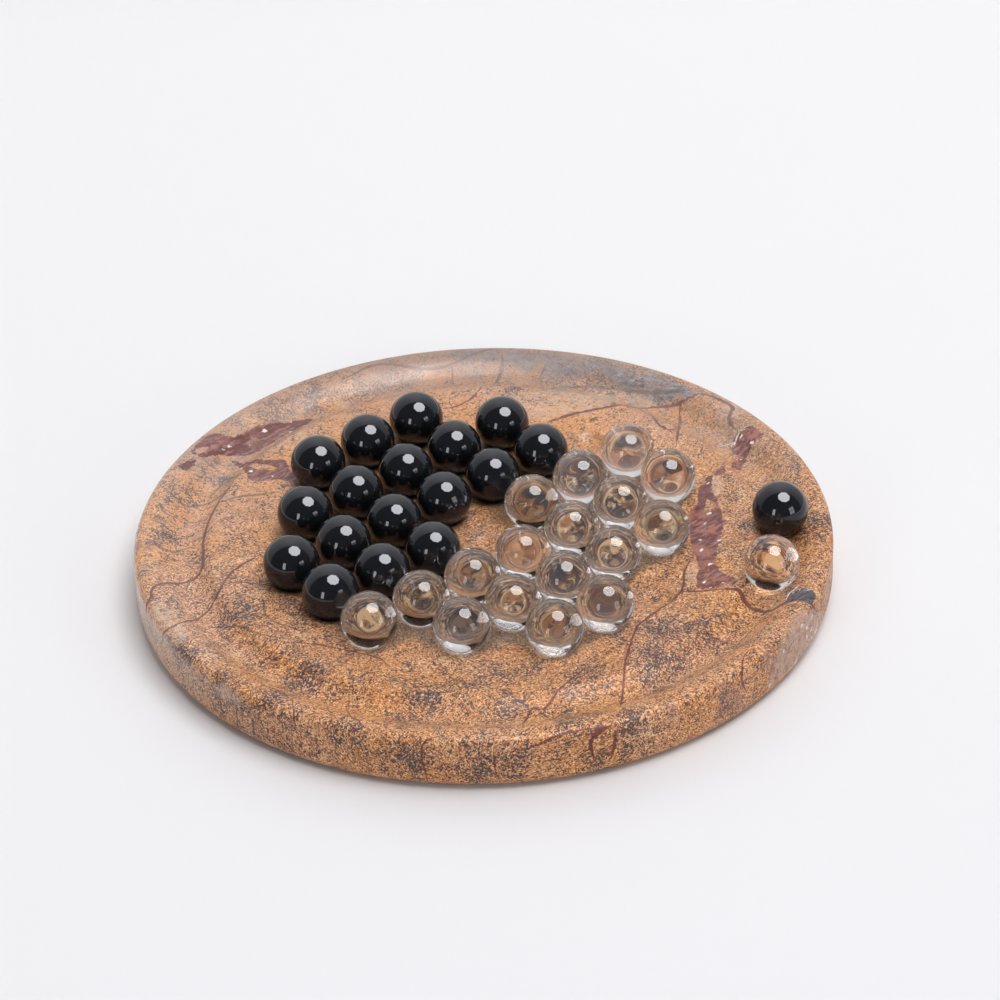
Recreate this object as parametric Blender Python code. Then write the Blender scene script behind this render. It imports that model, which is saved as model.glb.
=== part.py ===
"""A round stone peg-solitaire board with its glass marbles.

The board is one turned slab: a shallow dished playing surface with 37 dimples, a rounded
crest around it, an annular groove that keeps captured marbles, and a rounded rim. On it lie
36 loose glass marbles, half of them black and half clear: 34 in dimples and 2 in the groove.

Metres, +Z up. The origin is the centre of the underside. +X runs along one line of holes
and +Y along the other.
"""

from math import asin, atan, cos, pi, radians, sin, tan

import bmesh
import bpy
from mathutils import Matrix, Vector

# Driving dimensions, in metres
PITCH = 0.021
MARBLE_RADIUS = 0.0093
BOARD_RADIUS = 0.1158
THICKNESS = 0.019
CREST_RADIUS = 0.0893
CREST_HEIGHT = 0.0175
GROOVE_RADIUS = 0.0984
GROOVE_FLOOR = 0.0142
DIMPLE_MOUTH_RADIUS = 0.0057
REST_GAP = 0.0003

# Roundings of the turned profile
DISH_EDGE_SLOPE = radians(6.6)
GROOVE_BLEND = 0.0096
RIM_SHOULDER = 0.0030
FOOT_ROUNDING = 0.0050

# Where the marbles lie: holes are counted (column along +X, row along -Y) from the centre
HALF_WIDTHS = {3: 1, 2: 2, 1: 3, 0: 3}
EMPTY_HOLES = {(0, 0), (1, 3), (3, -1)}
GROOVE_ANGLES = {"black": radians(-38.3), "clear": radians(-56.6)}

# Fineness of the meshes
TURN_SEGMENTS = 64
ARC_STEP = radians(18.0)
DISH_RINGS = 5
CUTTER_SEGMENTS = 12
CUTTER_RINGS = 16
MARBLE_SUBDIVISIONS = 3


def clear_scene():
    for item in list(bpy.data.objects):
        bpy.data.objects.remove(item, do_unlink=True)


def make_material(name, colour, roughness, transmission=0.0):
    material = bpy.data.materials.new(name)
    material.use_nodes = True
    shader = material.node_tree.nodes["Principled BSDF"]
    shader.inputs["Base Color"].default_value = (*colour, 1.0)
    shader.inputs["Roughness"].default_value = roughness
    shader.inputs["Metallic"].default_value = 0.0
    shader.inputs["Transmission Weight"].default_value = transmission
    return material


def add_object(name, mesh, material, location=(0.0, 0.0, 0.0)):
    item = bpy.data.objects.new(name, mesh)
    item.location = location
    bpy.context.collection.objects.link(item)
    if not mesh.materials:
        mesh.materials.append(material)
    return item


def arc(centre, radius, start, end):
    """Points on an arc in the (radius, height) plane; 0 points outwards and pi/2 up."""
    steps = max(1, round(abs(end - start) / ARC_STEP))
    angles = [start + (end - start) * i / steps for i in range(steps + 1)]
    return [(centre[0] + radius * cos(a), centre[1] + radius * sin(a)) for a in angles]


def blend_angle(rise, run):
    """The steepest slope of two equal-slope arcs that climb rise over run."""
    return 2 * atan(rise / run)


def crest_rounding():
    """The crest's radius, from the groove's rounding and the height between them."""
    run = GROOVE_RADIUS - CREST_RADIUS
    slope = blend_angle(CREST_HEIGHT - GROOVE_FLOOR, run)
    return run / sin(slope) - GROOVE_BLEND


def dish_height(r):
    """The height of the dished playing surface at a distance r from the centre."""
    edge_r = CREST_RADIUS - crest_rounding() * sin(DISH_EDGE_SLOPE)
    edge_z = CREST_HEIGHT - crest_rounding() * (1 - cos(DISH_EDGE_SLOPE))
    return edge_z - tan(DISH_EDGE_SLOPE) / (2 * edge_r) * (edge_r**2 - r**2)


def dish_profile():
    """The playing surface, from its centre to just before the crest's rounding."""
    edge_r = CREST_RADIUS - crest_rounding() * sin(DISH_EDGE_SLOPE)
    radii = [edge_r * i / DISH_RINGS for i in range(DISH_RINGS)]
    return [(r, dish_height(r)) for r in radii]


def board_profile():
    """The board's outline from the centre of its top to the centre of its underside."""
    rim_r = BOARD_RADIUS - RIM_SHOULDER
    inner_slope = blend_angle(CREST_HEIGHT - GROOVE_FLOOR, GROOVE_RADIUS - CREST_RADIUS)
    outer_slope = blend_angle(THICKNESS - GROOVE_FLOOR, rim_r - GROOVE_RADIUS)
    crest_blend = crest_rounding()
    rim_blend = (rim_r - GROOVE_RADIUS) / sin(outer_slope) - GROOVE_BLEND

    crest_centre = (CREST_RADIUS, CREST_HEIGHT - crest_blend)
    groove_centre = (GROOVE_RADIUS, GROOVE_FLOOR + GROOVE_BLEND)
    rim_centre = (rim_r, THICKNESS - rim_blend)
    shoulder_centre = (rim_r, THICKNESS - RIM_SHOULDER)
    foot_centre = (BOARD_RADIUS - FOOT_ROUNDING, FOOT_ROUNDING)

    up, down = pi / 2, -pi / 2
    points = dish_profile()
    points += arc(crest_centre, crest_blend, up + DISH_EDGE_SLOPE, up - inner_slope)
    points += arc(groove_centre, GROOVE_BLEND, down - inner_slope, down + outer_slope)[1:]
    points += arc(rim_centre, rim_blend, up + outer_slope, up)[1:]
    points += arc(shoulder_centre, RIM_SHOULDER, up, 0.0)[1:]
    points += arc(foot_centre, FOOT_ROUNDING, 0.0, down)
    points += [(0.0, 0.0)]
    return points


def turned_mesh(name, profile):
    """A closed mesh of revolution; the profile starts and ends on the axis."""
    shape = bmesh.new()
    corners = [shape.verts.new((r, 0.0, z)) for r, z in profile]
    edges = [shape.edges.new(pair) for pair in zip(corners, corners[1:])]
    bmesh.ops.spin(
        shape,
        geom=corners + edges,
        cent=(0.0, 0.0, 0.0),
        axis=(0.0, 0.0, 1.0),
        angle=2 * pi,
        steps=TURN_SEGMENTS,
        use_merge=True,
    )
    bmesh.ops.remove_doubles(shape, verts=shape.verts, dist=1e-6)
    bmesh.ops.recalc_face_normals(shape, faces=shape.faces)
    mesh = bpy.data.meshes.new(name)
    shape.to_mesh(mesh)
    shape.free()
    mesh.shade_smooth()
    return mesh


def hole_positions():
    """Every hole as ((column, row), (x, y, height of the marble's centre))."""
    holes = []
    for column in range(-3, 4):
        width = HALF_WIDTHS[abs(column)]
        for row in range(-width, width + 1):
            x, y = column * PITCH, -row * PITCH
            holes.append(((column, row), (x, y, seated_height(x, y))))
    return holes


def seated_height(x, y):
    """The height of a marble's centre when the marble sits in a dimple at (x, y)."""
    cup_radius = MARBLE_RADIUS + REST_GAP
    return dish_height((x * x + y * y) ** 0.5) + cup_radius * cos(
        asin(DIMPLE_MOUTH_RADIUS / cup_radius)
    )


def dimple_cutter():
    """One ball for each dimple, a resting gap larger than a marble, in one wire object."""
    shape = bmesh.new()
    for _, centre in hole_positions():
        bmesh.ops.create_uvsphere(
            shape,
            u_segments=CUTTER_SEGMENTS,
            v_segments=CUTTER_RINGS,
            radius=MARBLE_RADIUS + REST_GAP,
            matrix=Matrix.Translation(Vector(centre)),
        )
    mesh = bpy.data.meshes.new("dimple_cutter")
    shape.to_mesh(mesh)
    shape.free()
    cutter = bpy.data.objects.new("dimple_cutter", mesh)
    bpy.context.collection.objects.link(cutter)
    cutter.hide_render = True
    cutter.display_type = "WIRE"
    return cutter


def make_board():
    stone = make_material("stone", (0.50, 0.28, 0.15), 0.3)
    board = add_object("board", turned_mesh("board", board_profile()), stone)
    dimples = board.modifiers.new("dimples", "BOOLEAN")
    dimples.operation = "DIFFERENCE"
    dimples.solver = "EXACT"
    dimples.object = dimple_cutter()
    return board


def marble_mesh(name):
    shape = bmesh.new()
    bmesh.ops.create_icosphere(shape, subdivisions=MARBLE_SUBDIVISIONS, radius=MARBLE_RADIUS)
    mesh = bpy.data.meshes.new(name)
    shape.to_mesh(mesh)
    shape.free()
    mesh.shade_smooth()
    return mesh


def hole_colour(column, row):
    """Black marbles fill the holes on one side of a line across the board."""
    last_black_row = 0 if column < 0 else -1
    return "black" if row <= last_black_row else "clear"


def marble_places():
    """The marbles' centres by colour: those in the holes first, then the one in the groove."""
    places = {"black": [], "clear": []}
    for (column, row), centre in hole_positions():
        if (column, row) not in EMPTY_HOLES:
            places[hole_colour(column, row)].append(centre)
    for colour, angle in GROOVE_ANGLES.items():
        x, y = GROOVE_RADIUS * cos(angle), GROOVE_RADIUS * sin(angle)
        places[colour].append((x, y, GROOVE_FLOOR + REST_GAP + MARBLE_RADIUS))
    return places


def groove_pivot():
    """The upright axis at the board's centre, about which a marble rolls along the groove."""
    pivot = bpy.data.objects.new("groove_pivot", None)
    bpy.context.collection.objects.link(pivot)
    return pivot


def make_marbles():
    glass = {
        "black": make_material("black_glass", (0.01, 0.01, 0.012), 0.03),
        "clear": make_material("clear_glass", (0.95, 0.96, 0.97), 0.01, transmission=1.0),
    }
    pivot = groove_pivot()
    for colour, centres in marble_places().items():
        mesh = marble_mesh(f"marble_{colour}")
        for number, centre in enumerate(centres, start=1):
            marble = add_object(f"marble_{colour}_{number:02d}", mesh, glass[colour], centre)
            if number == len(centres):
                marble.parent = pivot


clear_scene()
make_board()
make_marbles()
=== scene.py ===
"""Looks for a marble solitaire board: a turned, polished stone slab and its glass marbles."""

from math import asin, atan, cos, pi, radians, sin, sqrt, tan

import bmesh
import bpy
import numpy as np
from mathutils import Matrix, Vector


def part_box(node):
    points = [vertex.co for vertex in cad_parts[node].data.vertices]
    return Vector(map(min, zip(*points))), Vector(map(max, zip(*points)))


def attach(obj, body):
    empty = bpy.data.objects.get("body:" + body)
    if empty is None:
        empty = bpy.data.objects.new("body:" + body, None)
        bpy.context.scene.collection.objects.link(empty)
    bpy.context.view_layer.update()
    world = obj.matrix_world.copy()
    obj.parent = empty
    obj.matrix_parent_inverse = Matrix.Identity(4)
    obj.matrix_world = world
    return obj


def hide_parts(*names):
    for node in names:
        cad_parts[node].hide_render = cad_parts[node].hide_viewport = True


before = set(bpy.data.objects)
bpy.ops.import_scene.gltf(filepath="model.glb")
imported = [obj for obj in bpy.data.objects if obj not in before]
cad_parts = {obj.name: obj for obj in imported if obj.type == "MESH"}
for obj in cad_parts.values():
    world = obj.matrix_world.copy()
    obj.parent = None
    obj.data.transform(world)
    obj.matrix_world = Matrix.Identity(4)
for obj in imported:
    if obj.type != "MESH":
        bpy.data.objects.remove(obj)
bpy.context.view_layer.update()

# ---------------------------------------------------------------- sizes, from the frame
BOARD_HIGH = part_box("board")[1]
BOARD_RADIUS = BOARD_HIGH.x
THICKNESS = BOARD_HIGH.z
MARBLE_NAMES = sorted(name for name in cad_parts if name.startswith("marble"))


def centre_of(node):
    low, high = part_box(node)
    return (low + high) / 2


MARBLE_RADIUS = (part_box(MARBLE_NAMES[0])[1].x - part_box(MARBLE_NAMES[0])[0].x) / 2
PITCH = -min(centre_of(name).x for name in MARBLE_NAMES) / 3

# The turned profile is the same as the CAD board's.
CREST_RADIUS = 0.0893
CREST_HEIGHT = 0.0175
GROOVE_RADIUS = 0.0984
GROOVE_FLOOR = 0.0142
DISH_EDGE_SLOPE = radians(6.6)
GROOVE_BLEND = 0.0096
RIM_SHOULDER = 0.0030
FOOT_ROUNDING = 0.0050
DIMPLE_MOUTH_RADIUS = 0.0057
REST_GAP = 0.0003
DIMPLE_LIP = 0.0002
OUT_OF_ROUND = 0.0015
BOARD_STEP = 0.001
BOARD_SEGMENTS = 640
HALF_WIDTHS = {3: 1, 2: 2, 1: 3, 0: 3}

# ---------------------------------------------------------------- the view
CAMERA_AZIMUTH = radians(-37.82)
CAMERA_ELEVATION = radians(33.97)
CAMERA_DISTANCE = 1.279
CAMERA_ROLL = radians(-1.75)
CAMERA_LENS = 137.7
LOOK_AT = Vector((0.01376, 0.00804, 0.0202))


def make_camera():
    back = Vector((
        sin(CAMERA_AZIMUTH) * cos(CAMERA_ELEVATION),
        -cos(CAMERA_AZIMUTH) * cos(CAMERA_ELEVATION),
        sin(CAMERA_ELEVATION),
    ))
    data = bpy.data.cameras.new("camera")
    data.lens = CAMERA_LENS
    camera = bpy.data.objects.new("camera", data)
    bpy.context.scene.collection.objects.link(camera)
    camera.location = LOOK_AT + back * CAMERA_DISTANCE
    turn = (-back).to_track_quat("-Z", "Y").to_matrix() @ Matrix.Rotation(CAMERA_ROLL, 3, "Z")
    camera.rotation_euler = turn.to_euler()
    bpy.context.scene.camera = camera


def from_view(right, away, up):
    """A place given as the camera's operator sees it: right, away and up from the board."""
    return Matrix.Rotation(CAMERA_AZIMUTH, 3, "Z") @ Vector((right, away, up))


# ---------------------------------------------------------------- light
OVERHEAD_PLACE = (0.77, -0.32, 3.15)
OVERHEAD_RADIUS = 1.34
OVERHEAD_GLOW = 5.1
OVERHEAD_SHINE = 13.5
SHINE_RIPPLE = 0.15
RIPPLE_SCALE = 1.1
# Each window: name, place, width and height, power, and its panes each way
WINDOWS = [
    ("left_window", (-0.93, -1.67, 0.59), (0.42, 0.95), 6.5, (1, 1)),
    ("right_window", (1.43, -1.27, 0.57), (0.70, 0.95), 7.4, (2, 2)),
]
PANE_SHARE = 0.9
# Half the backdrop's brightness against the cosine of the angle from its brightest place
BACKDROP_LEVELS = [(0.35, 0.29), (0.75, 0.40), (0.88, 0.48), (0.96, 0.60), (1.0, 0.72)]
BACKDROP_WAY = (0.0, 0.643, 0.766)
BACKDROP_STRENGTH = 2.0
CEILING_LEVEL = 0.06
# The ceiling ends and the backdrop begins where this direction's cosine passes zero
CEILING_EDGE_WAY = (0.0, 0.97, -0.24)
CEILING_EDGE_SOFTNESS = 0.02
FLOOR_SIZE = 4.0
# The paper's colour near the camera and far from it, and where it changes: painted shade, darker towards
# the camera
PAPER_NEAR = (0.735, 0.730, 0.755, 1.0)
PAPER_FAR = (0.830, 0.825, 0.835, 1.0)
PAPER_CHANGE = (-0.25, 0.40)
PAPER_WAY = (-0.25, 0.97, 0.0)


def make_softbox(name, place, size, power):
    data = bpy.data.lights.new(name, "AREA")
    data.shape = "RECTANGLE"
    data.size, data.size_y = size
    data.energy = power
    lamp = bpy.data.objects.new(name, data)
    bpy.context.scene.collection.objects.link(lamp)
    lamp.location = place
    lamp.rotation_euler = place.to_track_quat("Z", "Y").to_euler()
    return lamp


def make_window(name, place, size, power, bars):
    """A window of panes, seen in the marbles; bars counts the panes each way."""
    turn = place.to_track_quat("Z", "Y").to_matrix()
    pane = [size[i] / bars[i] for i in (0, 1)]
    for column in range(bars[0]):
        for row in range(bars[1]):
            offset = Vector((
                (column + 0.5 - bars[0] / 2) * pane[0],
                (row + 0.5 - bars[1] / 2) * pane[1],
                0.0,
            ))
            lamp = make_softbox(
                f"{name}_{column}_{row}",
                place,
                (pane[0] * PANE_SHARE, pane[1] * PANE_SHARE),
                power / (bars[0] * bars[1]),
            )
            lamp.location = place + turn @ offset


def emission_material(name, strength, ripple):
    """A glowing diffuser, crossed by faint rings."""
    glow = bpy.data.materials.new(name)
    glow.use_nodes = True
    nodes, links = glow.node_tree.nodes, glow.node_tree.links
    nodes.clear()
    out = nodes.new("ShaderNodeOutputMaterial")
    emit = nodes.new("ShaderNodeEmission")
    rings = nodes.new("ShaderNodeTexWave")
    rings.wave_type = "RINGS"
    rings.rings_direction = "SPHERICAL"
    rings.inputs["Scale"].default_value = RIPPLE_SCALE
    level = nodes.new("ShaderNodeMapRange")
    level.inputs["To Min"].default_value = strength * (1 - ripple)
    level.inputs["To Max"].default_value = strength * (1 + ripple)
    links.new(nodes.new("ShaderNodeTexCoord").outputs["Object"], rings.inputs["Vector"])
    links.new(rings.outputs["Fac"], level.inputs["Value"])
    links.new(level.outputs["Result"], emit.inputs["Strength"])
    links.new(emit.outputs[0], out.inputs["Surface"])
    return glow


def make_overhead(place):
    """An eight-sided softbox; it shows brighter in polished surfaces than it lights them."""
    discs = [("octabox", OVERHEAD_GLOW, 0.0, True), ("octabox_shine", OVERHEAD_SHINE, SHINE_RIPPLE, False)]
    for name, strength, ripple, lights_surfaces in discs:
        shape = bmesh.new()
        bmesh.ops.create_circle(shape, cap_ends=True, segments=8, radius=OVERHEAD_RADIUS)
        mesh = bpy.data.meshes.new(name)
        shape.to_mesh(mesh)
        shape.free()
        lamp = bpy.data.objects.new(name, mesh)
        bpy.context.scene.collection.objects.link(lamp)
        lamp.location = place
        lamp.rotation_euler = place.to_track_quat("Z", "Y").to_euler()
        lamp.visible_diffuse = lights_surfaces
        lamp.visible_shadow = lights_surfaces
        lamp.visible_glossy = not lights_surfaces
        mesh.materials.append(emission_material(name, strength, ripple))


def make_world():
    """A pale backdrop behind the board, brightest up and straight behind, and a dim ceiling."""
    world = bpy.data.worlds.new("studio")
    world.use_nodes = True
    bpy.context.scene.world = world
    nodes, links = world.node_tree.nodes, world.node_tree.links
    where = nodes.new("ShaderNodeTexCoord")

    def facing(direction):
        dot = nodes.new("ShaderNodeVectorMath")
        dot.operation = "DOT_PRODUCT"
        dot.inputs[1].default_value = direction
        links.new(where.outputs["Generated"], dot.inputs[0])
        return dot.outputs["Value"]

    def ramp(value, stops):
        node = nodes.new("ShaderNodeValToRGB")
        elements = node.color_ramp.elements
        for position, level in stops[1:-1]:
            elements.new(position).color = tone_of(level)
        elements[0].position, elements[0].color = stops[0][0], tone_of(stops[0][1])
        elements[-1].position, elements[-1].color = stops[-1][0], tone_of(stops[-1][1])
        links.new(value, node.inputs["Fac"])
        return node.outputs["Color"]

    def tone_of(level):
        return (level * 0.98, level * 0.985, level, 1.0)

    backdrop = ramp(facing(from_view(*BACKDROP_WAY)), BACKDROP_LEVELS)
    shared = nodes.new("ShaderNodeMix")
    shared.data_type = "RGBA"
    shared.inputs[6].default_value = tone_of(CEILING_LEVEL)
    edge_levels = [(0.0, 0.0), (CEILING_EDGE_SOFTNESS, 1.0)]
    edge = ramp(facing(from_view(*CEILING_EDGE_WAY)), edge_levels)
    links.new(edge, shared.inputs[0])
    links.new(backdrop, shared.inputs[7])
    links.new(shared.outputs[2], nodes["Background"].inputs["Color"])
    nodes["Background"].inputs["Strength"].default_value = BACKDROP_STRENGTH


def make_floor():
    shape = bmesh.new()
    bmesh.ops.create_grid(shape, x_segments=1, y_segments=1, size=FLOOR_SIZE)
    mesh = bpy.data.meshes.new("floor")
    shape.to_mesh(mesh)
    shape.free()
    floor = bpy.data.objects.new("floor", mesh)
    bpy.context.scene.collection.objects.link(floor)
    paper = bpy.data.materials.new("paper")
    paper.use_nodes = True
    nodes, links = paper.node_tree.nodes, paper.node_tree.links
    # Painted shade: the paper darkens towards the camera
    away = nodes.new("ShaderNodeVectorMath")
    away.operation = "DOT_PRODUCT"
    away.inputs[1].default_value = from_view(*PAPER_WAY)
    fade = nodes.new("ShaderNodeMapRange")
    fade.inputs["From Min"].default_value = PAPER_CHANGE[0]
    fade.inputs["From Max"].default_value = PAPER_CHANGE[1]
    shades = nodes.new("ShaderNodeMix")
    shades.data_type = "RGBA"
    shades.inputs[6].default_value = PAPER_NEAR
    shades.inputs[7].default_value = PAPER_FAR
    links.new(nodes.new("ShaderNodeTexCoord").outputs["Object"], away.inputs[0])
    links.new(away.outputs["Value"], fade.inputs["Value"])
    links.new(fade.outputs["Result"], shades.inputs[0])
    links.new(shades.outputs[2], nodes["Principled BSDF"].inputs["Base Color"])
    nodes["Principled BSDF"].inputs["Roughness"].default_value = 0.9
    mesh.materials.append(paper)


# ---------------------------------------------------------------- the board's shape
def arc(centre, radius, start, end, step):
    count = max(2, round(abs(end - start) * radius / step))
    angles = np.linspace(start, end, count + 1)
    return [(centre[0] + radius * cos(a), centre[1] + radius * sin(a)) for a in angles]


def blend_angle(rise, run):
    return 2 * atan(rise / run)


CREST_BLEND = (GROOVE_RADIUS - CREST_RADIUS) / sin(
    blend_angle(CREST_HEIGHT - GROOVE_FLOOR, GROOVE_RADIUS - CREST_RADIUS)
) - GROOVE_BLEND
DISH_EDGE = CREST_RADIUS - CREST_BLEND * sin(DISH_EDGE_SLOPE)
DISH_EDGE_HEIGHT = CREST_HEIGHT - CREST_BLEND * (1 - cos(DISH_EDGE_SLOPE))


def dish_height(r):
    return DISH_EDGE_HEIGHT - tan(DISH_EDGE_SLOPE) / (2 * DISH_EDGE) * (DISH_EDGE**2 - r**2)


def board_profile(step):
    rim_r = BOARD_RADIUS - RIM_SHOULDER
    inner_slope = blend_angle(CREST_HEIGHT - GROOVE_FLOOR, GROOVE_RADIUS - CREST_RADIUS)
    outer_slope = blend_angle(THICKNESS - GROOVE_FLOOR, rim_r - GROOVE_RADIUS)
    rim_blend = (rim_r - GROOVE_RADIUS) / sin(outer_slope) - GROOVE_BLEND
    up, down = pi / 2, -pi / 2
    count = round(DISH_EDGE / (0.7 * step))
    points = [(r, dish_height(r)) for r in np.linspace(0, DISH_EDGE, count + 1)[1:-1]]
    points += arc((CREST_RADIUS, CREST_HEIGHT - CREST_BLEND), CREST_BLEND,
                  up + DISH_EDGE_SLOPE, up - inner_slope, step)
    points += arc((GROOVE_RADIUS, GROOVE_FLOOR + GROOVE_BLEND), GROOVE_BLEND,
                  down - inner_slope, down + outer_slope, step)[1:]
    points += arc((rim_r, THICKNESS - rim_blend), rim_blend, up + outer_slope, up, step)[1:]
    points += arc((rim_r, THICKNESS - RIM_SHOULDER), RIM_SHOULDER, up, 0.0, step)[1:]
    side = THICKNESS - RIM_SHOULDER - FOOT_ROUNDING
    count = round(side / step)
    shoulder = THICKNESS - RIM_SHOULDER
    points += [(BOARD_RADIUS, shoulder - side * i / count) for i in range(1, count)]
    points += arc((BOARD_RADIUS - FOOT_ROUNDING, FOOT_ROUNDING), FOOT_ROUNDING, 0.0, down, step)
    return points


def hole_centres():
    holes = []
    for column in range(-3, 4):
        width = HALF_WIDTHS[abs(column)]
        holes += [(column * PITCH, -row * PITCH) for row in range(-width, width + 1)]
    return holes


def sink_dimples(x, y, z):
    """Lowers the points of the playing surface into the dimples, with a softened lip."""
    cup = MARBLE_RADIUS + REST_GAP
    for hole_x, hole_y in hole_centres():
        rise = cup * cos(asin(DIMPLE_MOUTH_RADIUS / cup))
        seat = dish_height(sqrt(hole_x**2 + hole_y**2)) + rise
        off = (x - hole_x) ** 2 + (y - hole_y) ** 2
        near = off < (1.6 * DIMPLE_MOUTH_RADIUS) ** 2
        cup_z = seat - np.sqrt(np.maximum(cup**2 - off[near], 0.0))
        gap = z[near] - cup_z
        z[near] -= 0.5 * (gap + np.sqrt(gap**2 + DIMPLE_LIP**2))
    return z


def make_board():
    segments = BOARD_SEGMENTS
    profile = board_profile(BOARD_STEP)
    radii = np.array([p[0] for p in profile])
    heights = np.array([p[1] for p in profile])
    turn = np.linspace(0, 2 * pi, segments, endpoint=False)
    x = np.outer(radii, np.cos(turn))
    y = np.outer(radii, np.sin(turn))
    z = np.repeat(heights[:, None], segments, axis=1)
    dished = radii < DISH_EDGE
    z[dished] = sink_dimples(x[dished], y[dished], z[dished])
    rings = len(profile)
    ring_points = np.stack([x, y, z], axis=-1).reshape(-1, 3)
    cup = MARBLE_RADIUS + REST_GAP
    centre_z = dish_height(0.0) - cup + cup * cos(asin(DIMPLE_MOUTH_RADIUS / cup))
    points = np.vstack([ring_points, [[0, 0, centre_z], [0, 0, 0]]])
    top, foot = rings * segments, rings * segments + 1
    faces = [(top, k, (k + 1) % segments) for k in range(segments)]
    for ring in range(rings - 1):
        a = ring * segments
        b = a + segments
        for k in range(segments):
            following = (k + 1) % segments
            faces.append((a + k, b + k, b + following, a + following))
    last = (rings - 1) * segments
    faces += [(last + k, foot, last + (k + 1) % segments) for k in range(segments)]
    mesh = bpy.data.meshes.new("stone_board")
    mesh.from_pydata(points.tolist(), [], faces)
    mesh.update()
    mesh.shade_smooth()
    board = bpy.data.objects.new("stone_board", mesh)
    bpy.context.scene.collection.objects.link(board)
    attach(board, "board")
    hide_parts("board")

    # The markings are laid out on the surface rolled out flat, in millimetres: past the rim's
    # top, the distance from the centre runs on down the side.
    steps = np.hypot(np.diff(radii), np.diff(heights))
    rolled = np.where(radii > BOARD_RADIUS - RIM_SHOULDER, 0.0, radii)
    for ring in range(1, rings):
        if rolled[ring] == 0.0 or rolled[ring] < rolled[ring - 1]:
            rolled[ring] = rolled[ring - 1] + steps[ring - 1]
    u = (1000 * np.outer(rolled, np.cos(turn))).ravel()
    v = (1000 * np.outer(rolled, np.sin(turn))).ravel()
    u = np.append(u, [0.0, 0.0])
    v = np.append(v, [0.0, FAR_OFF])
    add_markings(mesh, u, v)
    return board


# ---------------------------------------------------------------- the stone's markings
# Places are in millimetres on the rolled-out surface. A vein is (half width, its points).
RED_VEINS = [
    (0.65, [(-46, 79), (-59, 71), (-71, 60), (-82, 46), (-93, 45), (-102, 44), (-107, 39), (-114, 38),
            (-121, 30)]),
    (0.5, [(-62, 40), (-75, 37), (-88, 29), (-101, 24), (-108, 22), (-113, 22), (-119, 25)]),
    (0.4, [(-83, 33), (-77, 30), (-69, 22)]),
    (0.35, [(-95, 36), (-91, 36), (-88, 37)]),
    (0.4, [(-87, -6), (-79, -13), (-68, -31), (-69, -38)]),
    (0.35, [(-87, -6), (-91, -8), (-97, -7)]),
    (0.35, [(-104, -35), (-108, -41), (-113, -44)]),
    (0.45, [(-75, -39), (-81, -43)]),
    (0.35, [(-90, -44), (-95, -54), (-94, -57), (-101, -59)]),
    (0.6, [(-8, 111), (-7, 107), (-10, 103)]),
    (0.7, [(22, 106), (36, 105), (47, 95), (56, 90), (67, 88), (74, 86)]),
    (0.5, [(57, 89), (53, 84)]),
    (0.9, [(74, 82), (70, 77), (63, 73)]),
    (0.5, [(84, 68), (79, 66), (75, 64)]),
    (0.7, [(61, 40), (71, 37), (81, 32), (87, 29), (96, 25), (102, 19), (109, 16)]),
    (0.6, [(102, 18), (95, 10), (84, -1)]),
    (0.5, [(56, 71), (49, 68), (42, 68), (38, 70)]),
    (0.4, [(71, 66), (62, 59)]),
    (0.8, [(109, 16), (111, 12), (112, 2), (107, -2), (105, -8)]),
    (0.6, [(92, 23), (88, 15), (87, 9), (89, 5)]),
    (1.1, [(39, -76), (42, -80), (41, -84), (42, -89), (45, -94), (50, -95), (54, -92)]),
    (0.5, [(28, -66), (33, -71), (39, -76)]),
    (0.6, [(51, -97), (54, -101), (55, -103), (62, -106), (61, -111)]),
    (0.5, [(43, -55), (37, -59), (28, -67), (9, -71), (3, -74), (-9, -84), (-18, -93), (-27, -102)]),
    (0.35, [(34, -47), (36, -52), (37, -58)]),
    (0.45, [(19, -109), (15, -112), (12, -117), (16, -124)]),
    (0.35, [(13, -118), (20, -118)]),
    (0.3, [(36, -100), (29, -104)]),
    (0.4, [(-21, -79), (-35, -83), (-44, -85), (-47, -83), (-58, -90)]),
    (0.4, [(-8, -93), (-13, -97)]),
    (0.45, [(-63, -100), (-50, -103), (-37, -109)]),
    (0.9, [(-46, -117), (-45, -111), (-42, -109), (-36, -109)]),
    (0.8, [(-36, -111), (-38, -116), (-40, -119), (-43, -118)]),
    (0.4, [(-70, -93), (-75, -100), (-77, -106)]),
    (0.45, [(-81, -79), (-85, -78), (-89, -80), (-97, -90)]),
    (0.4, [(-60, -108), (-54, -111), (-51, -110)]),
]
GREY_VEINS = [
    (0.8, [(-66, 88), (-65, 81), (-60, 79), (-54, 77), (-48, 75)]),
    (0.7, [(-56, 72), (-49, 71), (-44, 69), (-36, 66)]),
    (0.6, [(-86, 68), (-87, 63), (-84, 61), (-79, 61), (-74, 60)]),
    (0.6, [(-73, 85), (-73, 82), (-74, 78), (-70, 75)]),
    (0.5, [(-43, 87), (-49, 83), (-54, 81)]),
    (0.6, [(-98, 20), (-92, 12), (-90, 2), (-84, -6)]),
    (0.5, [(-76, 20), (-82, 8), (-78, -4)]),
    (0.7, [(-47, 92), (-42, 84), (-38, 80)]),
    (0.9, [(78, 58), (90, 47), (100, 30), (108, 20)]),
]
# Painted glints: white streaks where light glints on the polish at the right crest and around the grey
# patch
GLINT_STREAKS = [
    (0.5, [(101, -12), (104, -10), (107, -10)]),
    (0.4, [(97, -9), (100, -10), (103, -12)]),
    (0.4, [(105, -8), (107, -11)]),
    (0.5, [(50, -94), (53, -92), (57, -92)]),
    (0.4, [(57, -96), (60, -97)]),
    (0.4, [(60, -99), (62, -102)]),
]
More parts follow.
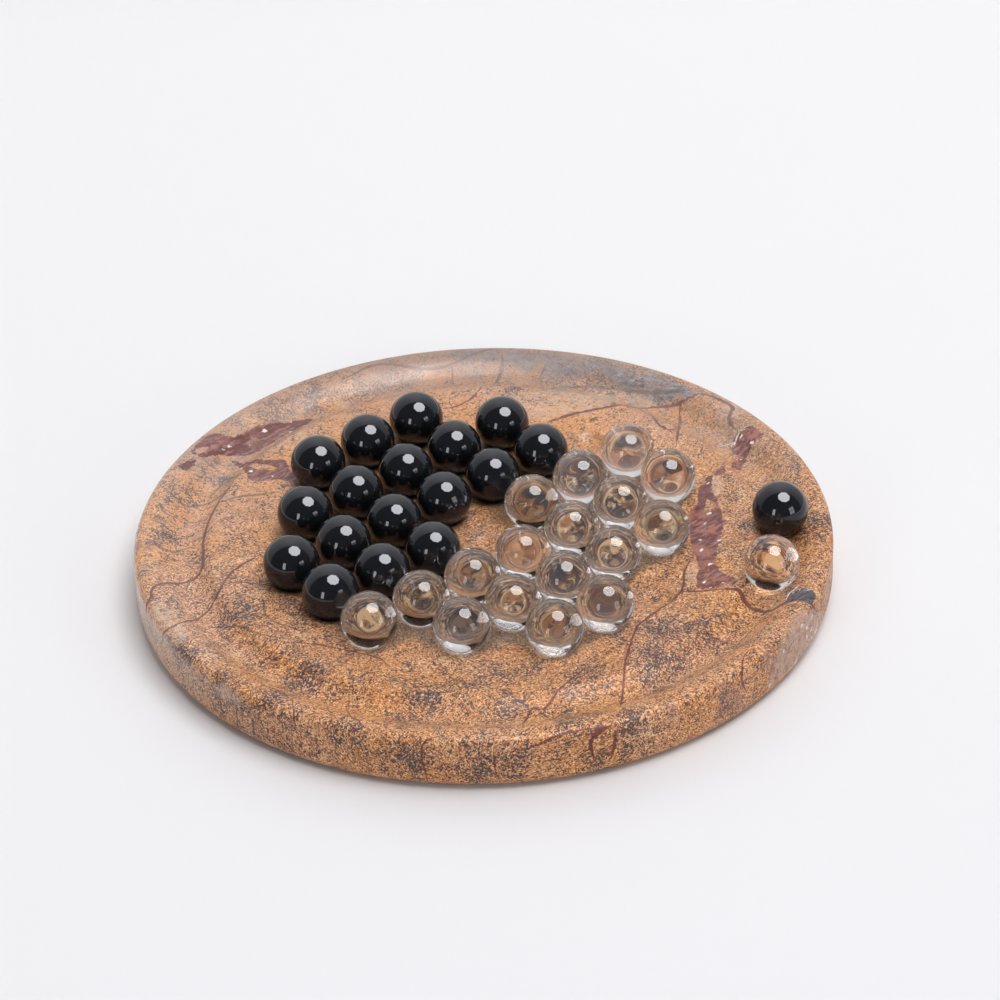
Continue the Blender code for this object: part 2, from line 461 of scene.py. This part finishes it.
RED_PATCHES = [
    [(-46, 103), (-35, 107), (-29, 102), (-23, 103), (-13, 103), (2, 97), (-17, 94), (-27, 93), (-37, 97),
     (-46, 98)],
    [(-55, 98), (-47, 98), (-54, 94)],
    [(-35, 94), (-30, 84), (-24, 80), (-25, 75), (-27, 67), (-32, 72), (-40, 76), (-37, 86)],
    [(109, -11), (108, -19), (104, -18), (100, -20), (91, -25), (88, -24), (96, -17), (102, -10)],
    [(86, -22), (85, -25), (75, -32), (69, -41), (62, -50), (52, -58), (46, -66), (45, -76), (39, -74),
     (34, -69), (43, -59), (50, -47), (60, -35), (66, -32), (74, -25)],
]
# Pieces of the plain stone caught inside the red patches
CHIPS = [
    [(-45, 102), (-40, 101), (-45, 99)],
    [(-34, 84), (-29, 79), (-30, 77), (-35, 82)],
    [(70, -33), (66, -36), (65, -39), (70, -37)],
    [(99, -15), (96, -19), (95, -20), (98, -15)],
    [(80, -24), (82, -26), (79, -31), (75, -34), (73, -33), (76, -28)],
]
GREY_PATCHES = [
    [(48, -96), (55, -93), (58, -96), (58, -100), (53, -102), (51, -98)],
]
QUARTZ_PATCHES = [
    [(33, -110), (45, -103), (58, -104), (68, -106), (66, -115), (50, -122), (28, -127), (27, -119)],
]
SMOKE_PATCHES = [
    [(85, 73), (91, 63), (97, 54), (103, 42), (107, 32), (109, 23), (111, 15), (105, 18), (100, 21),
     (97, 28), (97, 34), (94, 42), (93, 50), (89, 54), (83, 61), (79, 67)],
    [(79, 67), (70, 80), (58, 92), (64, 93), (76, 83), (85, 73)],
]
PALE_PATCHES = [
    [(62, 62), (70, 56), (82, 51), (88, 43), (93, 38), (99, 33), (100, 28), (98, 24), (92, 26), (89, 34),
     (76, 33), (67, 38), (59, 42), (56, 52)],
    [(-106, 36), (-110, 35), (-114, 27), (-116, 21), (-114, 12), (-109, 14), (-106, 22), (-104, 30)],
    [(-119, -9), (-121, -14), (-118, -21), (-114, -19), (-114, -13)],
    [(104, 2), (111, 6), (116, 0), (112, -4), (106, -3)],
    [(42, -56), (43, -59), (38, -65), (35, -66), (32, -64)],
    [(80, -24), (82, -26), (79, -31), (75, -34), (73, -33), (76, -28)],
]
MAUVE_PATCHES = [
    [(25, -108), (29, -110), (33, -116), (34, -121), (28, -121), (22, -114)],
    [(2, -113), (6, -115), (12, -122), (13, -127), (6, -127), (-1, -128), (2, -122)],
    [(-18, -111), (-14, -112), (-15, -117), (-19, -118)],
    [(-100, 74), (-92, 70), (-84, 66), (-90, 62), (-100, 66)],
]
# Where dark slate grains crowd together: (x, y, radius)
SLATE_CLOUDS = [
    (-27, -83, 7), (-42, -97, 9), (-54, -79, 5), (-41, -67, 5), (-57, -62, 6), (-68, -58, 7),
    (-79, -62, 6), (-93, -78, 8), (-78, -99, 7), (-68, -101, 5), (-32, -115, 8), (-46, -119, 6),
    (-87, 16, 9), (-119, -12, 8),
    (-117, 9, 6), (-90, -23, 8), (-68, 12, 6), (88, -68, 7), (-8, 105, 7), (8, 104, 8), (24, 101, 7),
    (38, 97, 6), (10, -80, 9), (20, -86, 8), (-2, -92, 9), (92, 50, 8), (99, 40, 9), (104, 30, 8),
    (83, 60, 7), (-62, 88, 5), (-45, 84, 5), (-80, 68, 5), (72, 55, 6), (65, 62, 6), (-30, 60, 6),
    (-100, -60, 7), (-108, -30, 6),
]
# Where the grain bends into rings: (x, y, inner radius, outer radius)
SWIRLS = [(24, -87, 5, 15), (4, -88, 3, 12), (-54, -79, 1, 8), (14, -104, 3, 10)]

# Painted shade, standing in for each marble's contact shadow: how far from its centre a filled dimple
# darkens the stone, and over what width that fades
CUP_REACH = 8.5
CUP_FADE = 3.5
# How dark that painted shade is in a filled dimple, and how much more under a black marble
CUP_PAINTED_SHADE = 0.3
BLACK_PAINTED_SHADE = 0.45
# Painted shade: an empty dimple has a darker ring at its lip, where its edge falls in shade
LIP_RADIUS = 5.4
LIP_WIDTH = 0.7
LIP_PAINTED_SHADE = 0.35
# The stone among the clear marbles gets painted shade too, where the marbles shade one another: how far a
# marble's share of the crowd spreads, where the crowd starts to count and over what it grows, and how near
# a clear marble it has to be
CROWD_SPREAD = 14.0
CROWD_START = 0.92
CROWD_GROWTH = 0.25
CLEAR_REACH = 16.5
CLEAR_FADE = 4.5
CROWD_PAINTED_SHADE = 0.42
FAR_OFF = 999.0


def smooth_line(points, closed=False, spans=6):
    """A Catmull-Rom curve through the points, as an array."""
    points = np.array(points, float)
    if closed:
        points = np.vstack([points[-1], points, points[0], points[1]])
    else:
        points = np.vstack([2 * points[0] - points[1], points, 2 * points[-1] - points[-2]])
    t = np.linspace(0, 1, spans, endpoint=False)[:, None]
    line = []
    for a, b, c, d in zip(points, points[1:], points[2:], points[3:]):
        square = 2 * a - 5 * b + 4 * c - d
        cube = 3 * b - a - 3 * c + d
        line.append(0.5 * (2 * b + (c - a) * t + square * t**2 + cube * t**3))
    if not closed:
        line.append(points[-2:-1])
    return np.vstack(line)


def vein_fields(u, v, veins, reach=3.0, taper=6.0):
    """The signed distance to the nearest vein, and its half width, or -1 away from the veins."""
    offset = np.full(len(u), reach)
    width = np.full(len(u), -1.0)
    for half_width, points in veins:
        line = smooth_line(points)
        lengths = np.hypot(*np.diff(line, axis=0).T)
        run = np.concatenate([[0.0], np.cumsum(lengths)])
        low, high = line.min(axis=0) - reach, line.max(axis=0) + reach
        near = np.flatnonzero((u > low[0]) & (u < high[0]) & (v > low[1]) & (v < high[1]))
        for k, (start, end) in enumerate(zip(line, line[1:])):
            along = (end - start) / lengths[k]
            x, y = u[near] - start[0], v[near] - start[1]
            t = np.clip(x * along[0] + y * along[1], 0.0, lengths[k])
            side = x * along[1] - y * along[0]
            away = np.hypot(x - t * along[0], y - t * along[1])
            closer = away < np.abs(offset[near])
            at = near[closer]
            offset[at] = np.where(side[closer] < 0, -away[closer], away[closer])
            to_end = np.minimum(run[k] + t[closer], run[-1] - run[k] - t[closer])
            width[at] = half_width * np.clip(to_end / taper + 0.25, 0.0, 1.0)
    width[np.abs(offset) > 2.0] = -1.0
    return offset, width


def patch_field(u, v, outlines, reach=4.0):
    """The signed distance to the nearest outline, below zero inside it."""
    field = np.full(len(u), reach)
    for outline in outlines:
        line = smooth_line(outline, closed=True, spans=4)
        away = np.full(len(u), reach)
        inside = np.zeros(len(u), bool)
        for start, end in zip(line, np.roll(line, -1, axis=0)):
            span = end - start
            length = max(np.hypot(*span), 1e-6)
            x, y = u - start[0], v - start[1]
            t = np.clip((x * span[0] + y * span[1]) / length**2, 0.0, 1.0)
            away = np.minimum(away, np.hypot(x - t * span[0], y - t * span[1]))
            if start[1] != end[1]:
                crosses = (start[1] > v) != (end[1] > v)
                inside ^= crosses & (x < (v - start[1]) * span[0] / span[1])
        field = np.minimum(field, np.where(inside, -away, away))
    return field


def dimple_fields(u, v):
    """Where painted shade darkens the stone at and among the marbles, and where they magnify its grain."""
    holes = 1000 * np.array(hole_centres())
    seats = 1000 * np.array([centre_of(name)[:2] for name in MARBLE_NAMES])
    crowd = np.zeros(len(u))
    to_clear = np.full(len(u), FAR_OFF)
    for (x, y), name in zip(seats, MARBLE_NAMES):
        out = np.hypot(u - x, v - y)
        crowd += np.exp(-((out / CROWD_SPREAD) ** 2))
        if "clear" in name:
            to_clear = np.minimum(to_clear, out)
    cup = np.zeros(len(u))
    under_black = np.zeros(len(u))
    for x, y in holes:
        nearest = np.hypot(*(seats - (x, y)).T).argmin()
        filled = np.hypot(*(seats[nearest] - (x, y))) < 1.0
        out = np.hypot(u - x, v - y)
        fall = np.clip((CUP_REACH - out) / CUP_FADE, 0.0, 1.0)
        lip = LIP_PAINTED_SHADE * np.exp(-(((out - LIP_RADIUS) / LIP_WIDTH) ** 2))
        cup = np.maximum(cup, fall if filled else lip)
        if filled and "black" in MARBLE_NAMES[nearest]:
            under_black = np.maximum(under_black, fall)
    among = np.clip((crowd - CROWD_START) / CROWD_GROWTH, 0.0, 1.0)
    among *= np.clip((CLEAR_REACH - to_clear) / CLEAR_FADE, 0.0, 1.0)
    # The painted shade: contact shadow in the filled dimples, deeper under the black marbles, and shade
    # among the clear marbles
    painted_shade = CUP_PAINTED_SHADE * cup + BLACK_PAINTED_SHADE * under_black
    painted_shade += CROWD_PAINTED_SHADE * among * (1.0 - 0.6 * cup)
    return {"painted_shade": painted_shade, "cup": np.maximum(cup, among)}


def swirl_fields(u, v):
    """The distance from the middle of the nearest swirl, and how strong the swirl is."""
    swirl = np.zeros(len(u))
    strongest = np.zeros(len(u))
    for x, y, inner, outer in SWIRLS:
        away = np.hypot(u - x, v - y)
        share = np.clip((away - inner) / 2, 0, 1) * np.clip((outer - away) / 4, 0, 1)
        share *= np.clip(0.4 - (0.6 * (u - x) + 0.8 * (v - y)) / np.maximum(away, 1.0), 0, 1)
        more = share > strongest
        swirl[more] = away[more]
        strongest[more] = share[more]
    return {"swirl": swirl, "swirl_share": strongest}


def add_markings(mesh, u, v):
    fields = {}
    veins = {"red": RED_VEINS, "grey": GREY_VEINS, "white": GLINT_STREAKS}
    for name, lines in veins.items():
        fields[f"{name}_offset"], fields[f"{name}_width"] = vein_fields(u, v, lines)
    patches = {
        "grey_patch": GREY_PATCHES,
        "quartz": QUARTZ_PATCHES,
        "smoke": SMOKE_PATCHES,
        "pale": PALE_PATCHES,
        "mauve": MAUVE_PATCHES,
    }
    for name, outlines in patches.items():
        fields[name] = patch_field(u, v, outlines)
    fields["red_patch"] = np.maximum(patch_field(u, v, RED_PATCHES), -patch_field(u, v, CHIPS))
    fields["slate"] = np.zeros(len(u))
    for x, y, radius in SLATE_CLOUDS:
        cloud = np.exp(-((u - x) ** 2 + (v - y) ** 2) / radius**2)
        fields["slate"] = np.maximum(fields["slate"], cloud)
    fields.update(dimple_fields(u, v))
    fields.update(swirl_fields(u, v))
    for name, values in fields.items():
        attribute = mesh.attributes.new(name, "FLOAT", "POINT")
        attribute.data.foreach_set("value", values.astype(np.float32))


# ---------------------------------------------------------------- materials
def tone(red, green, blue):
    """A colour given as it looks on screen, 0 to 255."""
    levels = [level / 255 for level in (red, green, blue)]
    return tuple(c / 12.92 if c <= 0.04045 else ((c + 0.055) / 1.055) ** 2.4 for c in levels)


class Shader:
    """Adds and links the nodes of one material. Sizes in its textures are in millimetres."""

    def __init__(self, name):
        self.material = bpy.data.materials.new(name)
        self.material.use_nodes = True
        self.nodes = self.material.node_tree.nodes
        self.surface = self.nodes["Principled BSDF"]
        where = self.node("TexCoord").outputs["Object"]
        self.where = self.node("VectorMath", {0: where, "Scale": 1000.0}, operation="SCALE").outputs[0]

    def node(self, kind, inputs=None, **settings):
        node = self.nodes.new("ShaderNode" + kind)
        for name, value in settings.items():
            setattr(node, name, value)
        for socket, value in (inputs or {}).items():
            self.feed(node.inputs[socket], value)
        return node

    def feed(self, socket, value):
        if isinstance(value, bpy.types.NodeSocket):
            self.material.node_tree.links.new(value, socket)
        elif socket.type == "RGBA":
            socket.default_value = (*value, 1.0)
        else:
            socket.default_value = value

    def set(self, **inputs):
        for name, value in inputs.items():
            self.feed(self.surface.inputs[name.replace("_", " ")], value)

    def math(self, operation, *values):
        return self.node("Math", dict(enumerate(values)), operation=operation).outputs[0]

    def times(self, *shares):
        """The product of several shares."""
        product = shares[0]
        for share in shares[1:]:
            product = self.math("MULTIPLY", product, share)
        return product

    def rise(self, value, low, high, start=0.0, end=1.0):
        """Goes smoothly from start to end as the value goes from low to high."""
        inputs = {"Value": value, "From Min": low, "From Max": high, "To Min": start, "To Max": end}
        return self.node("MapRange", inputs, interpolation_type="SMOOTHSTEP").outputs["Result"]

    def mix(self, share, first, second):
        node = self.node("Mix", data_type="RGBA")
        for socket, value in zip((0, 6, 7), (share, first, second)):
            self.feed(node.inputs[socket], value)
        return node.outputs[2]

    def noise(self, size, detail=2.0, rough=0.5, where=None, output="Fac"):
        inputs = {"Vector": where or self.where, "Scale": 1 / size, "Detail": detail, "Roughness": rough}
        return self.node("TexNoise", inputs).outputs[output]

    def warped(self, size, amount, where=None):
        """The place, pushed about by noise of the given size by up to about half the amount."""
        push = self.noise(size, 2.0, 0.5, where, "Color")
        inputs = {0: push, 1: (amount,) * 3, 2: where or self.where}
        return self.node("VectorMath", inputs, operation="MULTIPLY_ADD").outputs[0]

    def along(self, way, where=None):
        """How far the place lies from the board's centre in a direction."""
        inputs = {0: where or self.where, 1: way}
        return self.node("VectorMath", inputs, operation="DOT_PRODUCT").outputs["Value"]

    def stretched(self, where, stretch):
        inputs = {0: where, 1: (1 / stretch, 1.0, 1.0)}
        return self.node("VectorMath", inputs, operation="MULTIPLY").outputs[0]

    def lined(self, where, way, stretch):
        """The place drawn out along a direction, so that textures make streaks along it."""
        forward = self.along((way[0] / stretch, way[1] / stretch, 0.0), where)
        across = self.along((-way[1], way[0], 0.0), where)
        return self.node("CombineXYZ", {"X": forward, "Y": across}).outputs[0]

    def cells(self, where, size):
        """Voronoi cells: the distance to the nearest cell's point, and that cell's random channels."""
        node = self.node("TexVoronoi", {"Vector": where, "Scale": 1 / size})
        chance = self.node("SeparateColor", {"Color": node.outputs["Color"]})
        return node.outputs["Distance"], chance.outputs

    def thread(self, value, level, low, high, most):
        """Thin lines along which the value passes a level."""
        off = self.math("ABSOLUTE", self.math("SUBTRACT", value, level))
        return self.rise(off, low, high, most, 0.0)

    def field(self, name):
        return self.node("Attribute", attribute_name=name).outputs["Fac"]


VEIN_SHARE = 0.85
OCHRE = tone(216, 150, 92)
TAN = tone(208, 153, 117)
RUST = tone(140, 80, 50)
CREAM = tone(240, 200, 152)
SLATE = tone(48, 56, 68)
DARK = tone(36, 34, 36)
RED = tone(98, 50, 50)
RED_PALE = tone(160, 116, 114)
RED_FADED = tone(164, 104, 86)
QUARTZ = tone(176, 150, 134)
GREY = tone(92, 96, 108)
GREY_PALE = tone(186, 188, 196)
SMOKE = tone(122, 122, 128)
PALE = tone(204, 176, 156)
MAUVE = tone(140, 104, 98)
WHITE = tone(240, 238, 236)
BROWN = tone(84, 52, 40)
BACK_GREY = tone(118, 100, 94)
# The pale tone of the painted sheen on the back of the rim
BACK_SHEEN_TONE = tone(150, 136, 130)
# The colour of the painted shade under and among the marbles
PAINTED_SHADE_TONE = tone(66, 58, 53)
# Directions across the board: along the smoky streaks, and towards its back, its left and its front
SMOKE_WAY = (-0.47, 0.88, 0.0)
BACK_WAY = (0.61, 0.79, 0.0)
LEFT_WAY = (-0.79, 0.61, 0.0)
FRONT_WAY = (-0.25, -0.97, 0.0)
RING_SPACING = 1.2
# Random channel, where a grain's share of the dye starts and is full, that share, and the dye
GRAINS = [
    ("Red", 0.55, 0.92, 0.95, CREAM),
    ("Green", 0.58, 0.90, 0.95, RUST),
    ("Blue", 0.80, 0.90, 0.95, BROWN),
]


# The finer grain under the marbles: its dye, where it starts and is full, and its size
FINE_GRAINS = [
    (DARK, 0.54, 0.46, 0.50),
    (CREAM, 0.54, 0.60, 0.42),
    (SLATE, 0.50, 0.44, 0.25),
]


def drifts(s, flow):
    """Broad drifts of ochre, tan, rust and cream."""
    colour = s.mix(s.rise(s.noise(26.0, 4.0, 0.6, flow), 0.38, 0.62), OCHRE, TAN)
    colour = s.mix(s.rise(s.noise(9.0, 5.0, 0.65, flow), 0.5, 0.75, 0.0, 0.5), colour, RUST)
    creamy = s.rise(s.noise(13.0, 4.0, 0.6, s.warped(14.0, 9.0)), 0.56, 0.72, 0.0, 0.4)
    return s.mix(creamy, colour, CREAM)


def with_rings(s, colour):
    """Rings in the grain."""
    rings = s.math("MULTIPLY_ADD", s.noise(5.0, 3.0, 0.6), 3.0, s.field("swirl"))
    rings = s.math("SINE", s.times(rings, 2 * pi / RING_SPACING))
    return s.mix(s.times(s.rise(rings, -0.2, 0.7), s.field("swirl_share"), 0.75), colour, RUST)


def with_grain(s, colour, fine, grain_way, outside_cup):
    """Single grains from near black to cream, strongest towards the front."""
    forward = s.rise(s.along(FRONT_WAY), -90.0, 50.0, -0.35, 0.35)
    strength = s.math("MULTIPLY_ADD", s.noise(22.0, 3.0, 0.6), 1.2, forward)
    strength = s.times(s.rise(strength, 0.2, 0.9, 0.35, 0.9), outside_cup)
    colour = s.mix(s.times(s.rise(fine, 0.30, 0.50, 0.7, 0.0), strength), colour, RUST)
    chance = s.cells(grain_way, 0.37)[1]
    for channel, low, high, most, dye in GRAINS:
        share = s.rise(chance[channel], low, high, 0.0, most)
        colour = s.mix(s.times(share, strength), colour, dye)
    return colour


def with_slate(s, colour, flow, outside_cup):
    """Dark slate: grains in crowds, thin wandering bands, and wisps towards the left."""
    cloud = s.math("MULTIPLY_ADD", s.field("slate"), 0.26, s.noise(7.0, 5.0, 0.7, flow))
    crowd = s.rise(cloud, 0.44, 0.80, 0.02, 0.62)
    chance = s.cells(s.warped(0.8, 0.5, flow), 0.5)[1]
    grains = s.rise(s.math("SUBTRACT", chance["Blue"], crowd), -0.04, 0.04, 0.85, 0.0)
    colour = s.mix(s.times(grains, outside_cup), colour, SLATE)

    bands = s.thread(s.noise(9.0, 4.0, 0.55, s.warped(18.0, 16.0)), 0.47, 0.003, 0.020, 0.9)
    bands = s.times(bands, s.rise(s.noise(15.0, 2.0), 0.36, 0.5), s.rise(s.noise(1.1, 2.0), 0.38, 0.52))
    colour = s.mix(s.times(bands, outside_cup), colour, SLATE)

    wisps = s.noise(6.0, 5.0, 0.6, s.warped(12.0, 12.0, s.lined(s.where, LEFT_WAY, 1.8)))
    wisps = s.times(s.thread(wisps, 0.53, 0.002, 0.014, 0.8), s.rise(s.along(LEFT_WAY), 10.0, 70.0))
    wisps = s.times(wisps, s.rise(s.noise(12.0, 3.0), 0.40, 0.50))
    return s.mix(s.times(wisps, outside_cup), colour, SLATE)


def with_smoke(s, colour, flow):
    """Drifts of pale, mauve and smoky blue-grey stone."""
    drift = s.math("MULTIPLY_ADD", s.noise(3.0, 4.0, 0.7), 5.0, -2.5)
    streaks = s.noise(1.5, 6.0, 0.8, s.lined(s.warped(7.0, 5.0), SMOKE_WAY, 2.0))
    for name, dye, most in (("pale", PALE, 0.6), ("mauve", MAUVE, 0.6)):
        share = s.rise(s.math("ADD", drift, s.field(name)), -1.5, 1.0, most, 0.0)
        colour = s.mix(s.times(share, s.rise(streaks, 0.42, 0.56, 0.15, 1.0)), colour, dye)
    smoke = s.mix(s.rise(streaks, 0.40, 0.50), SLATE, SMOKE)
    smoke = s.mix(s.rise(streaks, 0.52, 0.64, 0.0, 0.8), smoke, GREY_PALE)
    share = s.rise(s.math("ADD", drift, s.field("smoke")), -1.5, 1.0, 0.9, 0.0)
    share = s.times(share, s.rise(s.noise(5.0, 4.0, 0.65, flow), 0.45, 0.6, 1.0, 0.35))
    return s.mix(share, colour, smoke)


def pits(s, outside_cup):
    """Where small dark pits are."""
    off = s.cells(s.where, 3.1)[0]
    pit = s.times(s.rise(off, 0.07, 0.12, 1.0, 0.0), s.rise(s.noise(13.0), 0.36, 0.5))
    return s.times(pit, outside_cup)


def with_threads(s, colour):
    """Thin natural veins that nobody placed."""
    threads = s.thread(s.noise(21.0, 3.5, 0.5, s.warped(30.0, 20.0)), 0.5, 0.001, 0.004, 1.0)
    return s.mix(s.times(threads, s.rise(s.noise(17.0), 0.42, 0.52), 0.6), colour, RED)


def with_veins(s, colour, wobble, name, dye, most):
    """The placed veins, with ragged edges."""
    off = s.math("ABSOLUTE", s.math("MULTIPLY_ADD", wobble, 1.1, s.field(f"{name}_offset")))
    width = s.times(s.field(f"{name}_width"), VEIN_SHARE)
    edge = s.math("SUBTRACT", s.math("SUBTRACT", off, width), s.times(wobble, 0.8))
    return s.mix(s.rise(edge, -0.2, 0.15, most, 0.0), colour, dye)


def crystals_and_glints(s):
    """White crystals, which also stand in for painted glints on the polish: only some of the cells have
    one, and of different sizes.
    """
    off, chance = s.cells(s.stretched(s.warped(1.2, 1.8), 1.5), 2.6)
    edge = s.math("SUBTRACT", off, s.rise(chance["Red"], 0.4, 1.0, 0.0, 0.27))
    return s.rise(edge, -0.03, 0.03, 0.9, 0.0)


def with_patches(s, colour, fine):
    """The placed patches. Also gives the share of red stone, and of any smooth stone."""
    streaks = s.noise(1.6, 4.0, 0.7, s.stretched(s.warped(6.0, 3.0), 5.0))
    ragged = s.math("MULTIPLY_ADD", s.noise(3.0, 4.0, 0.7), 3.6, -1.8)
    crystal_glint = crystals_and_glints(s)

    red_stone = s.mix(s.rise(streaks, 0.44, 0.66), RED, RED_PALE)
    faded = s.rise(s.along(LEFT_WAY), -20.0, 60.0, 0.8, 0.2)
    faded = s.times(s.rise(s.noise(6.0, 4.0, 0.65), 0.44, 0.62), faded)
    red_stone = s.mix(crystal_glint, s.mix(faded, red_stone, RED_FADED), WHITE)
    red = s.rise(s.math("ADD", s.field("red_patch"), ragged), -0.25, 0.15, 0.95, 0.0)
    colour = s.mix(red, colour, red_stone)

    grey_stone = s.mix(s.rise(streaks, 0.38, 0.58), SLATE, GREY)
    grey_stone = s.mix(s.rise(streaks, 0.56, 0.70, 0.0, 0.9), grey_stone, GREY_PALE)
    grey_stone = s.mix(crystal_glint, grey_stone, WHITE)
    grey = s.rise(s.math("MULTIPLY_ADD", ragged, 0.4, s.field("grey_patch")), -0.3, 0.2, 0.9, 0.0)
    colour = s.mix(grey, colour, grey_stone)

    quartz_stone = s.mix(s.rise(s.noise(2.6, 5.0, 0.75), 0.38, 0.52), RUST, QUARTZ)
    quartz_stone = s.mix(crystal_glint, quartz_stone, WHITE)
    quartz = s.rise(s.math("MULTIPLY_ADD", ragged, 1.6, s.field("quartz")), -2.5, 0.8, 0.8, 0.0)
    colour = s.mix(s.times(quartz, s.rise(fine, 0.36, 0.50, 0.45, 1.0)), colour, quartz_stone)
    return colour, red, s.math("MAXIMUM", s.math("MAXIMUM", red, grey), quartz)


def with_back_grey_and_sheen(s, colour, flow, plain):
    """Greyer along the back edge, apart from the red patches, and a painted sheen: a pale haze on the back
    of the rim, where the polish reflects the backdrop.
    """
    away = s.along(BACK_WAY)
    colour = s.mix(s.times(plain, s.rise(away, 84.0, 110.0, 0.0, 0.45)), colour, BACK_GREY)
    outward = s.node("VectorMath", {0: s.where}, operation="LENGTH").outputs["Value"]
    # Painted sheen on the rim towards the back
    painted_sheen = s.times(s.rise(away, 0.0, 70.0), s.rise(outward, 80.0, 100.0, 0.0, 0.45))
    painted_sheen = s.times(painted_sheen, s.rise(s.noise(8.0, 4.0, 0.6, flow), 0.36, 0.56, 0.4, 1.0), plain)
    return s.mix(painted_sheen, colour, BACK_SHEEN_TONE)


def with_seat_shade_and_grain(s, colour):
    """Painted shade where marbles sit, at empty dimples' lips and among the clear marbles, and a finer
    grain, which the clear marbles magnify.
    """
    colour = s.mix(s.field("painted_shade"), colour, PAINTED_SHADE_TONE)
    fine_way = s.warped(1.0, 0.8)
    for dye, low, high, size in FINE_GRAINS:
        share = s.rise(s.noise(size, 4.0, 0.7, fine_way), low, high, 0.0, 0.7)
        colour = s.mix(s.times(share, s.field("cup")), colour, dye)
    return colour


def polish(s, fine, pit, plain, smooth_parts):
    """A polish that catches the light on the back and the left, over a faintly uneven surface."""
    away = s.along(BACK_WAY)
    left_gloss = s.rise(s.along(LEFT_WAY), 60.0, 108.0, 0.0, 0.95)
    left_gloss = s.times(left_gloss, s.rise(plain, 0.0, 1.0, 0.3, 1.0))
    gloss = s.math("MAXIMUM", s.rise(away, -20.0, 80.0, 0.02, 0.10), left_gloss)
    rough = s.rise(s.noise(6.0, 3.0, 0.6), 0.3, 0.7, 0.36, 0.52)
    rough = s.math("SUBTRACT", rough, s.times(smooth_parts, 0.2))
    height = s.math("MULTIPLY_ADD", fine, 0.05, s.times(pit, -0.12))
    height = s.math("MULTIPLY_ADD", s.noise(3.0, 2.0), 0.10, height)
    bump = s.node("Bump", {"Strength": 1.0, "Distance": 0.001, "Height": height})
    shine = s.rise(away, -20.0, 80.0, 0.2, 0.45)
    s.set(Roughness=rough, Specular_IOR_Level=shine, Normal=bump.outputs[0])
    s.set(Coat_Weight=gloss, Coat_Roughness=0.2)


def stone_material():
    s = Shader("stone")
    flow = s.warped(30.0, 12.0)
    grain_way = s.stretched(s.warped(7.0, 3.0, flow), 1.35)
    fine = s.noise(0.6, 2.0, 0.6, grain_way)
    outside_cup = s.rise(s.field("cup"), 0.5, 1.0, 1.0, 0.7)
    pit = pits(s, outside_cup)
    wobble = s.math("MULTIPLY_ADD", s.noise(2.2, 3.0, 0.6), 1.0, -0.5)

    colour = with_rings(s, drifts(s, flow))
    colour = with_grain(s, colour, fine, grain_way, outside_cup)
    colour = with_slate(s, colour, flow, outside_cup)
    colour = with_smoke(s, colour, flow)
    colour = with_threads(s, s.mix(pit, colour, DARK))
    colour = with_veins(s, colour, wobble, "grey", SLATE, 0.55)
    colour = with_veins(s, colour, wobble, "red", RED, 0.9)
    colour, red_patch, smooth_parts = with_patches(s, colour, fine)
    # The painted glints
    colour = with_veins(s, colour, wobble, "white", WHITE, 0.9)
    plain = s.math("SUBTRACT", 1.0, red_patch)
    colour = with_seat_shade_and_grain(s, with_back_grey_and_sheen(s, colour, flow, plain))
    s.set(Base_Color=colour)
    polish(s, fine, pit, plain, smooth_parts)
    return s.material


# ---------------------------------------------------------------- the marbles
def marble_mesh(name, seed):
    """A moulded ball, a few hundredths of a millimetre out of round."""
    shape = bmesh.new()
    bmesh.ops.create_icosphere(shape, subdivisions=5, radius=MARBLE_RADIUS)
    lobes = np.random.default_rng(seed).normal(size=(4, 3))
    for vert in shape.verts:
        way = np.array(vert.co) / MARBLE_RADIUS
        wave = np.mean(np.sin(2.5 * lobes @ way + lobes[:, 0] * 9.0))
        vert.co *= 1.0 - OUT_OF_ROUND * (1.0 + wave)
    mesh = bpy.data.meshes.new(name)
    shape.to_mesh(mesh)
    shape.free()
    mesh.shade_smooth()
    return mesh


def black_glass():
    s = Shader("black_glass")
    haze = s.rise(s.noise(4.0, 4.0, 0.6), 0.4, 0.7)
    colour = s.mix(haze, (0.0070, 0.0080, 0.0100), (0.0095, 0.0105, 0.0125))
    s.set(Base_Color=colour, Roughness=s.rise(s.noise(3.0, 5.0, 0.7), 0.45, 0.8, 0.0, 0.03))
    s.set(IOR=1.50, Specular_Tint=(0.93, 0.92, 1.0))
    return s.material


def clear_glass():
    s = Shader("clear_glass")
    streak = s.rise(s.noise(7.0, 3.0, 0.6, s.warped(6.0, 5.0)), 0.42, 0.62)
    colour = s.mix(streak, (0.86, 0.86, 0.87), (0.93, 0.93, 0.93))
    s.set(Base_Color=colour, Roughness=s.rise(s.noise(2.5, 5.0, 0.7), 0.5, 0.8, 0.0, 0.03))
    s.set(IOR=1.45, Transmission_Weight=1.0)
    return s.material


def make_marbles():
    glass = {"black": black_glass(), "clear": clear_glass()}
    for seed, node in enumerate(MARBLE_NAMES):
        kind = node.split("_")[1]
        ball = bpy.data.objects.new(f"glass_{node}", marble_mesh(node, seed))
        bpy.context.scene.collection.objects.link(ball)
        ball.location = centre_of(node)
        ball.data.materials.append(glass[kind])
        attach(ball, node)
        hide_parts(node)


make_camera()
make_world()
make_overhead(from_view(*OVERHEAD_PLACE))
for name, place, size, power, bars in WINDOWS:
    make_window(name, from_view(*place), size, power, bars)
make_floor()
board = make_board()
board.data.materials.append(stone_material())
make_marbles()
bpy.context.scene.view_settings.view_transform = "Standard"
